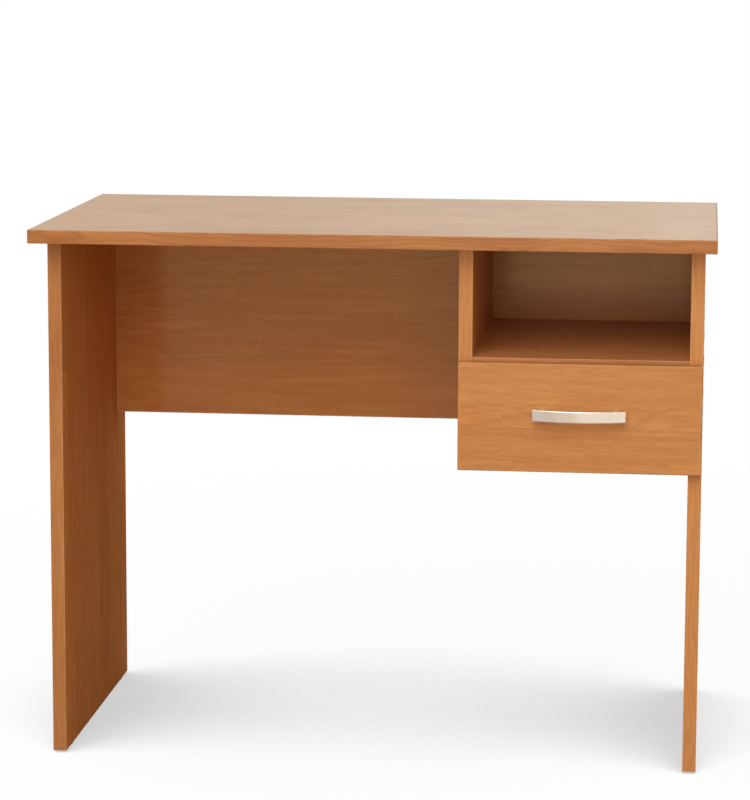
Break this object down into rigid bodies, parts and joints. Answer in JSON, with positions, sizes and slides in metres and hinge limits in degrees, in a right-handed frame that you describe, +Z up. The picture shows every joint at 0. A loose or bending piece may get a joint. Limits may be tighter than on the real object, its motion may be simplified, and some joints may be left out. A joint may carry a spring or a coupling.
{
  "type": "kneehole desk",
  "caption": "Kneehole desk of laminated boards: overhanging top, slab sides, modesty panel, and an open niche over a roller-runner drawer with a bow handle.",
  "frame": {"origin": "on the floor, under the middle of the desktop", "axes": "+X to the right along the desk, +Y to the back, +Z up; the drawer opens along -Y"},
  "size_m": [0.9, 0.5, 0.721],
  "materials": {
    "laminate": "alder-coloured melamine laminate, satin",
    "edge_strip": "alder-coloured edge strip with printed grain, satin",
    "hardboard": "thin hardboard, lacquered upper face",
    "beech": "raw turned beech",
    "zinc_steel": "bright zinc plate",
    "runner_steel": "cream powder coat, semi-gloss",
    "nylon": "white moulded nylon",
    "handle_metal": "satin nickel plate",
    "cap_plastic": "alder-coloured moulded plastic",
    "glide_plastic": "dark brown moulded plastic"
  },
  "bodies": {
    "desk": {"desktop": "laminate", "desktop_edging": "edge_strip", "left_side": "laminate", "left_side_edging": "edge_strip", "right_side": "laminate", "right_side_edging": "edge_strip", "modesty_panel": "laminate", "modesty_edging": "edge_strip", "divider": "laminate", "divider_edging": "edge_strip", "shelf": "laminate", "shelf_edging": "edge_strip", "carcass_connectors": "zinc_steel", "cover_caps": "cap_plastic", "dowels": "beech", "brackets": "zinc_steel", "bracket_screws": "zinc_steel", "glides": "glide_plastic", "left_wall_rail": "runner_steel", "left_wall_rail_screws": "zinc_steel", "left_wall_rivet": "zinc_steel", "right_wall_rail": "runner_steel", "right_wall_rail_screws": "zinc_steel", "right_wall_rivet": "zinc_steel"},
    "drawer": {"drawer_front": "laminate", "drawer_front_edging": "edge_strip", "drawer_left_side": "laminate", "drawer_right_side": "laminate", "drawer_box_front": "laminate", "drawer_back": "laminate", "drawer_box_edging": "edge_strip", "drawer_bottom": "hardboard", "drawer_bottom_screws": "zinc_steel", "box_connectors": "zinc_steel", "front_screws": "zinc_steel", "bow_handle": "handle_metal", "handle_screws": "zinc_steel", "left_box_rail": "runner_steel", "left_box_rail_screws": "zinc_steel", "left_box_rivet": "zinc_steel", "right_box_rail": "runner_steel", "right_box_rail_screws": "zinc_steel", "right_box_rivet": "zinc_steel"},
    "left_wall_roller": {"left_wall_roller": "nylon"},
    "right_wall_roller": {"right_wall_roller": "nylon"},
    "left_box_roller": {"left_box_roller": "nylon"},
    "right_box_roller": {"right_box_roller": "nylon"}
  },
  "joints": [
    {"name": "drawer_slide", "type": "slide", "parent": "desk", "child": "drawer", "axis": [0, -1, 0], "range_m": [0, 0.25]},
    {"name": "left_wall_roller_turn", "type": "hinge", "parent": "desk", "child": "left_wall_roller", "pos_m": [0.13695, -0.181, 0.42875], "axis": [1, 0, 0], "continuous": true},
    {"name": "right_wall_roller_turn", "type": "hinge", "parent": "desk", "child": "right_wall_roller", "pos_m": [0.41205, -0.181, 0.42875], "axis": [1, 0, 0], "continuous": true},
    {"name": "left_box_roller_turn", "type": "hinge", "parent": "drawer", "child": "left_box_roller", "pos_m": [0.1381, 0.139, 0.43465], "axis": [1, 0, 0], "continuous": true},
    {"name": "right_box_roller_turn", "type": "hinge", "parent": "drawer", "child": "right_box_roller", "pos_m": [0.4109, 0.139, 0.43465], "axis": [1, 0, 0], "continuous": true}
  ],
  "couplings": [
    {"joint": "left_wall_roller_turn", "follows": "drawer_slide", "rad_per_m": 111.11},
    {"joint": "right_wall_roller_turn", "follows": "drawer_slide", "rad_per_m": 111.11},
    {"joint": "left_box_roller_turn", "follows": "drawer_slide", "rad_per_m": 104.17},
    {"joint": "right_box_roller_turn", "follows": "drawer_slide", "rad_per_m": 104.17}
  ]
}
